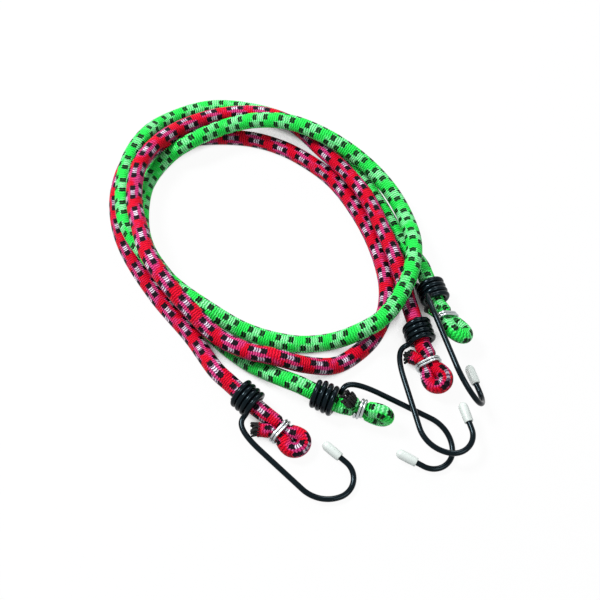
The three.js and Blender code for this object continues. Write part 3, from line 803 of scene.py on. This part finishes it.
def fold_piece(end_name, seed):
    """Cover and core of one folded end. The braid stops short of the core, whose strands fan out."""
    colour, number = end_name.split("_")
    cord, fold = CORDS[colour], FOLDS[end_name]
    _, fold_1, _, _, fold_2, last = cord["cuts"]
    part = slice(0, fold_1 + 1) if number == "1" else slice(fold_2, last + 1)
    way = -1 if number == "1" else 1
    kept = len(cord["line"][part]) - round(fold["bare"] / RING_STEP)
    line, radii, along, keys = (cord[k][part][::way][:kept] for k in ("line", "radii", "along", "keys"))
    frames = tuple(f[part][::way][:kept] for f in cord["frames"])
    rings = press_legs(end_name, circle_rings(line, radii, CORD_SIDES, frames), keys)
    # The rim turns in at the cut end
    out = unit(line[-1] - line[-2])
    rim = [line[-1] + (rings[-1] - line[-1]) * share + out * step for share, step, _ in RIM]
    rings = np.concatenate([rings, np.stack(rim)])
    run = np.concatenate([along, along[-1] + way * np.array(RIM)[:, 2]])
    cover = skin(f"{end_name}_fold_braid", rings[::way], run[::way] * MM, floor=True, closed_ends=False)
    hairs = frayed_rim(f"{end_name}_yarn", line, radii[-1], seed)
    cover = join(f"{colour}_cover_fold_{number}_braid", [cover] + hairs)
    dress(cover, BRAID[colour], f"{colour}_braid", f"{colour}_cover_fold_{number}")
    core = core_rod(f"{end_name}_core", line, radii, along, frames)
    sweep = np.array(fold["sweep"]) @ end_axes(end_name)
    bundle, strand_seed = radii[-1] * STRAND_BUNDLE, seed + STRAND_SEED
    strands = cut_strands(f"{end_name}_strand", line[-1], out, sweep, bundle, fold["fray"], strand_seed)
    core = join(f"{colour}_core_fold_{number}_rubber", [core] + strands)
    dress(core, RUBBER, "rubber_core", f"{colour}_core_fold_{number}")
    for piece in (cover, core):
        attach(piece, f"{colour}_end_{number}")
    return cover, core


for seed, end_name in enumerate(ENDS):
    cover, core = fold_piece(end_name, seed)
    print(f"{end_name}: fold with {len(cover.data.polygons)} faces, strands with {len(core.data.polygons)}")

# %% [markdown]
# ## Clips
# A clip is two turns of bright steel wire squeezed round both legs of the fold. Two stretched rings would
# look much the same from above, but a real clip has ends. So the wire's own line is drawn: two half circles
# joined by straight runs, wound twice, with the ends tucked in along the flat side underneath. The steel is a
# plain metal: what it mirrors gives its light and dark lines, and a slow noise makes them a little uneven.

# %% Clips
CLIP_WIRE = 1.5
CLIP_TURNS = 2
CLIP_PITCH = 1.62
CLIP_CLEARANCE = 0.65
CLIP_ROUND = NECK_DIAMETER / 2 + CLIP_CLEARANCE + CLIP_WIRE / 2
CLIP_TUCK = 0.2
CLIP_STEPS = 48
CLIP_SPAN = 4
CLIP_SIDES = 12
CLIP_RING_STEP = 0.35
STRAIGHT_RUN = 1e-6

CLIP_STEEL = mottled_material(
    "clip_wire", scale=420.0, detail=2.0, dark=(0.34, 0.37, 0.38, 1), light=(0.50, 0.53, 0.54, 1),
    roughness=0.20, spread=0.1, Metallic=1.0,
)


def clip_line(end_name):
    """The line of a clip's wire, round both legs of its fold."""
    fold = FOLDS[end_name]
    total, length = CLIP_STEPS * CLIP_TURNS, CLIP_TURNS * CLIP_PITCH
    spots = []
    for i in range(total + 1):
        turn = 2 * math.pi * i / CLIP_STEPS - math.pi / 2
        c = math.cos(turn)
        beyond = 0 if abs(c) < STRAIGHT_RUN else math.copysign(NECK_OFFSET, c)
        x = fold["clip"] - length / 2 + length * i / total
        spots.append((x, beyond + CLIP_ROUND * c - NECK_OFFSET, CLIP_ROUND * math.sin(turn)))
    first, last = spots[0], spots[-1]
    spots.insert(0, (first[0], first[1] - CLIP_WIRE, first[2] + CLIP_TUCK))
    spots.append((last[0], last[1] + CLIP_WIRE, last[2] + CLIP_TUCK))
    return from_end(end_name, [fold_point(fold, *spot) for spot in spots])


for end_name in ENDS:
    colour, number = end_name.split("_")
    line = evenly(CLIP_RING_STEP, smooth_line(clip_line(end_name), CLIP_SPAN))[0]
    clip = wire(f"{colour}_clip_{number}_wire", line, CLIP_WIRE / 2, CLIP_SIDES)
    dress(clip, CLIP_STEEL, "clip_wire", f"{colour}_clip_{number}")
    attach(clip, f"{colour}_end_{number}")
    print(f"{end_name}: clip of {lengths(line)[-1]:.0f} mm of wire")

# %% [markdown]
# ## Hooks
# A hook is bent from one length of plastic-coated wire: close turns round the cord, a flare out to the
# shank, the shank, then a bend that tightens towards a short straight end. It could be put together from a
# screw modifier and a curve, but the joins would show. As one line it is made the way the real one is. The
# coil is as long as the solid one and wound tighter, and the coating is black with a hard, narrow gloss.

# %% Hooks
HOOK_WIRE = 2.9
HOOK_SIDES = 20
HOOK_RING_STEP = 0.5
COIL_CLEARANCE = 0.6
COIL_RADIUS = CORD_RADIUS + COIL_CLEARANCE + HOOK_WIRE / 2
SOLID_COIL_TURNS = 3.4
SOLID_COIL_PITCH = 3.4
COIL_LENGTH = SOLID_COIL_TURNS * SOLID_COIL_PITCH
COIL_PITCH = 3.03
COIL_LEAVE_ANGLE = 70
COIL_STEPS = 60
SHANK_OFFSET = 15
FLARE_END = 24
FLARE_PULL = 5
FLARE_LEAD = 21
FLARE_STEPS = 40
BEND_START = 52
BEND_STEPS = 40
# Bends: radius, and angle in degrees
WIDE_BEND = (18, 65)
TIGHT_BEND = (10.3, 117)
HOOK_END_LENGTH = 12

HOOK_BLACK = mottled_material(
    "hook_wire", scale=260.0, detail=2.0, dark=(0.0004, 0.0014, 0.0022, 1), light=(0.0009, 0.0032, 0.0050, 1),
    roughness=0.15, spread=0.06, Specular_IOR_Level=0.15, Specular_Tint=(0.60, 0.87, 1, 1),
)


def arc(start, heading, radius, angle):
    """Points of a bend to the left, after its start."""
    a = math.radians(heading)
    centre = np.array([start[0] - radius * math.sin(a), start[1] + radius * math.cos(a), 0])
    turns = a + math.radians(angle) * np.arange(1, BEND_STEPS + 1) / BEND_STEPS
    return centre + radius * np.stack([np.sin(turns), -np.cos(turns), np.zeros(BEND_STEPS)], axis=1)


def hook_line():
    """The wire's line in the hook's own frame, and the place and direction of its far end."""
    last = math.radians(COIL_LEAVE_ANGLE)
    turns = COIL_LENGTH / COIL_PITCH
    psi = np.linspace(last - 2 * math.pi * turns, last, round(turns * COIL_STEPS))
    x = COIL_LENGTH / 2 - (last - psi) / (2 * math.pi) * COIL_PITCH
    coil = np.stack([x, -COIL_RADIUS * np.sin(psi), COIL_RADIUS * np.cos(psi)], axis=1)
    climb = COIL_PITCH / (2 * math.pi)
    leave = unit(np.array([climb, -COIL_RADIUS * math.cos(last), -COIL_RADIUS * math.sin(last)]))
    a, d = coil[-1], np.array([FLARE_END, -SHANK_OFFSET, 0])
    b, c = a + leave * FLARE_PULL, np.array([FLARE_END - FLARE_LEAD, -SHANK_OFFSET, 0])
    t = np.linspace(0, 1, FLARE_STEPS)[1:, None]
    flare = a * (1 - t) ** 3 + 3 * b * t * (1 - t) ** 2 + 3 * c * t**2 * (1 - t) + d * t**3
    bend = np.array([BEND_START, -SHANK_OFFSET, 0])
    wide = arc(bend, 0, *WIDE_BEND)
    tight = arc(wide[-1], WIDE_BEND[1], *TIGHT_BEND)
    way = math.radians(WIDE_BEND[1] + TIGHT_BEND[1])
    ahead = np.array([math.cos(way), math.sin(way), 0])
    end = tight[-1] + ahead * HOOK_END_LENGTH
    return np.vstack([coil, flare, bend, wide, tight, end]), end, ahead


def rolled(end_name, points):
    """Points of the hook's own frame in the plan, with the hook turned round its cord."""
    r = math.radians(ENDS[end_name]["hook_roll"])
    spin = np.array([[1, 0, 0], [0, math.cos(r), math.sin(r)], [0, -math.sin(r), math.cos(r)]])
    return from_end(end_name, np.asarray(points) @ spin)


HOOK, HOOK_END, HOOK_AHEAD = hook_line()


def hook_piece(end_name):
    """One hook, on its own body, which turns round the cord."""
    colour, number = end_name.split("_")
    line = evenly(HOOK_RING_STEP, rolled(end_name, HOOK))[0]
    hook = wire(f"{colour}_hook_{number}_wire", line, HOOK_WIRE / 2, HOOK_SIDES)
    dress(hook, HOOK_BLACK, "hook_wire", f"{colour}_hook_{number}")
    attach(hook, f"{colour}_hook_{number}")


print(f"each hook: {lengths(HOOK)[-1]:.0f} mm of wire, with {COIL_LENGTH / COIL_PITCH:.1f} turns in its coil")

# %% [markdown]
# ## Tips
# A soft white tip is pushed over the end of each wire, so that it doesn't scratch. It is a turned shape: a
# bore, a thin rim, a wall with a slight taper and a blunt crown. A cylinder with a bevel would miss the bore
# and the taper, so half of its section is drawn and carried round the wire's end. Its plastic is milky, a
# little uneven and half glossy. Each end gets its hook and its tip together.

# %% Tips
TIP_LENGTH = 11
TIP_DEPTH = 8.5
TIP_BORE = 1.55
TIP_OUTSIDE = 2.45
TIP_SIDES = 28
TIP_AXIS = 0.02
TIP_PLAY = 0.3
CROWN_STEPS = 12
CROWN_BLUNTNESS = 0.9
CROWN_HEIGHT = 1.15 * TIP_OUTSIDE

TIP_WHITE = mottled_material(
    "hook_tip", scale=180.0, detail=3.0, dark=(0.50, 0.55, 0.53, 1), light=(0.57, 0.62, 0.60, 1),
    roughness=0.34, spread=0.12, Specular_IOR_Level=0.4,
)


def tip_profile():
    """Half of the tip's section, as radius and height, from the bottom of its bore to the crown."""
    bore, outside = TIP_BORE, TIP_OUTSIDE
    profile = [(TIP_AXIS, TIP_DEPTH), (bore - 0.3, TIP_DEPTH), (bore, TIP_DEPTH - 0.4), (bore, 0.25)]
    profile += [(bore + 0.12, 0.03), (outside - 0.42, 0.0), (outside - 0.22, 0.12), (outside - 0.14, 0.4)]
    profile += [(outside - 0.1, 1.6), (outside - 0.02, 3.0), (outside, 4.5), (outside, 6.5)]
    for i in range(1, CROWN_STEPS + 1):
        turn = math.pi / 2 * i / CROWN_STEPS
        radius = max(TIP_AXIS, outside * math.cos(turn) ** CROWN_BLUNTNESS)
        profile.append((radius, TIP_LENGTH - CROWN_HEIGHT * (1 - math.sin(turn))))
    return np.array(profile)


def tip_rings():
    """The section carried round the wire's end, in the hook's own frame."""
    radii, heights = (column[:, None, None] for column in tip_profile().T)
    foot = HOOK_END + HOOK_AHEAD * (TIP_PLAY - TIP_DEPTH)
    square = np.array([-HOOK_AHEAD[1], HOOK_AHEAD[0], 0])
    turn = np.linspace(0, 2 * math.pi, TIP_SIDES, endpoint=False)[:, None]
    spokes = np.cos(turn) * square + np.sin(turn) * np.array([0, 0, 1.0])
    return foot + HOOK_AHEAD * heights + spokes * radii


def tip_piece(end_name):
    """The tip of one hook, which moves with the hook."""
    colour, number = end_name.split("_")
    rings = rolled(end_name, tip_rings())
    tip = skin(f"{colour}_hook_tip_{number}_cap", rings, tip_profile()[:, 1] * MM)
    dress(tip, TIP_WHITE, "hook_tip", f"{colour}_hook_tip_{number}")
    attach(tip, f"{colour}_hook_{number}")


for end_name in ENDS:
    hook_piece(end_name)
    tip_piece(end_name)
    print(f"{end_name}: hook with its tip at {(rolled(end_name, HOOK_END) + SHIFT).round(1)} mm")

# %% [markdown]
# ## Table
# The photo is a cut-out on white, with the faintest shade close to the cords. A bright lamp could burn the
# table out to white, but it would bleach the cords too. So the table glows white to the camera and to
# mirrors only, and gives way to its plain, lit surface where little sky is seen, which is where the shade
# lies.

# %% Table
TABLE_REACH = 6.0
TABLE_DROP = 0.0002
TABLE_DARK, TABLE_LIGHT = (0.58, 0.59, 0.60, 1), (0.62, 0.63, 0.64, 1)
TABLE_GRAIN, TABLE_DETAIL = 30.0, 2.0
TABLE_ROUGHNESS = 0.9
TABLE_GLOW = 0.95
SHADE_REACH = 0.04
SHADE_SAMPLES = 16
SHADE_RANGE = (0.07, 0.3)


def sees_white(n):
    """1 for rays from the camera and off mirrors, which see the white background, and 0 for the others."""
    rays = n.add("ShaderNodeLightPath").outputs
    mirrored = n.math("MAXIMUM", rays["Is Glossy Ray"], rays["Is Transmission Ray"])
    return n.math("MAXIMUM", rays["Is Camera Ray"], mirrored)


def table_material():
    n = Nodes(bpy.data.materials.new("white_table"))
    grain = n.noise(TABLE_GRAIN, TABLE_DETAIL)
    n.set(Base_Color=n.mix(grain, TABLE_DARK, TABLE_LIGHT), Roughness=TABLE_ROUGHNESS)
    glow = n.add("ShaderNodeEmission")
    n.put(glow.inputs["Strength"], 1.0)
    sky = n.add("ShaderNodeAmbientOcclusion", samples=SHADE_SAMPLES)
    n.put(sky.inputs["Distance"], SHADE_REACH)
    # Near the cords the glow fades by how little sky is seen: painted shade, over real shadows
    share = n.math("MULTIPLY", n.soft_step(sky.outputs["AO"], *SHADE_RANGE), TABLE_GLOW)
    blend = n.add("ShaderNodeMixShader")
    n.put(blend.inputs[0], n.math("MULTIPLY", sees_white(n), share))
    n.put(blend.inputs[1], n.shader.outputs[0])
    n.put(blend.inputs[2], glow.outputs[0])
    n.put(n.tree.nodes["Material Output"].inputs["Surface"], blend.outputs[0])
    return n.owner


corners = [(x * TABLE_REACH, y * TABLE_REACH, -TABLE_DROP) for x, y in ((-1, -1), (1, -1), (1, 1), (-1, 1))]
table_mesh = bpy.data.meshes.new("table")
table_mesh.from_pydata(corners, [], [(0, 1, 2, 3)])
table_mesh.materials.append(table_material())
table = bpy.data.objects.new("table", table_mesh)
bpy.context.scene.collection.objects.link(table)
print("table (m):", [round(v, 4) for v in table.dimensions])

# %% [markdown]
# ## Light
# The photo has soft studio light with crisp, narrow highlights on the black wire. A picture of a studio could
# light the scene, but three round lamps are easier to move: the key from the left behind, a weak fill from
# the right in front, and one behind that edges the cords. The sky is white where it is seen or mirrored, and
# dim as a light, so the colours keep about the tone that they are written with.

# %% Light
SKY_LIGHT = 0.2
LAMPS = {
    "key": dict(place=(-0.6, 0.3, 1.0), size=0.35, power=20),
    "fill": dict(place=(0.7, -0.6, 1.1), size=0.6, power=6),
    "back": dict(place=(0.2, 1.0, 0.8), size=0.4, power=6),
}

studio = Nodes(bpy.data.worlds.new("studio"))
background = studio.tree.nodes["Background"]
studio.put(background.inputs["Color"], (1, 1, 1, 1))
strength = studio.math("MULTIPLY_ADD", sees_white(studio), 1 - SKY_LIGHT, SKY_LIGHT)
studio.put(background.inputs["Strength"], strength)
bpy.context.scene.world = studio.owner


def lamp(name, place, size, power):
    """A round soft lamp that points at the middle of the table."""
    data = bpy.data.lights.new(name, "AREA")
    data.shape = "DISK"
    data.size = size
    data.energy = power
    light = bpy.data.objects.new(name, data)
    light.location = place
    light.rotation_euler = (-Vector(place)).to_track_quat("-Z", "Y").to_euler()
    bpy.context.scene.collection.objects.link(light)


for name, settings in LAMPS.items():
    lamp(name, **settings)
bpy.context.scene.view_settings.view_transform = "Standard"
print("lamps (W):", {name: settings["power"] for name, settings in LAMPS.items()})
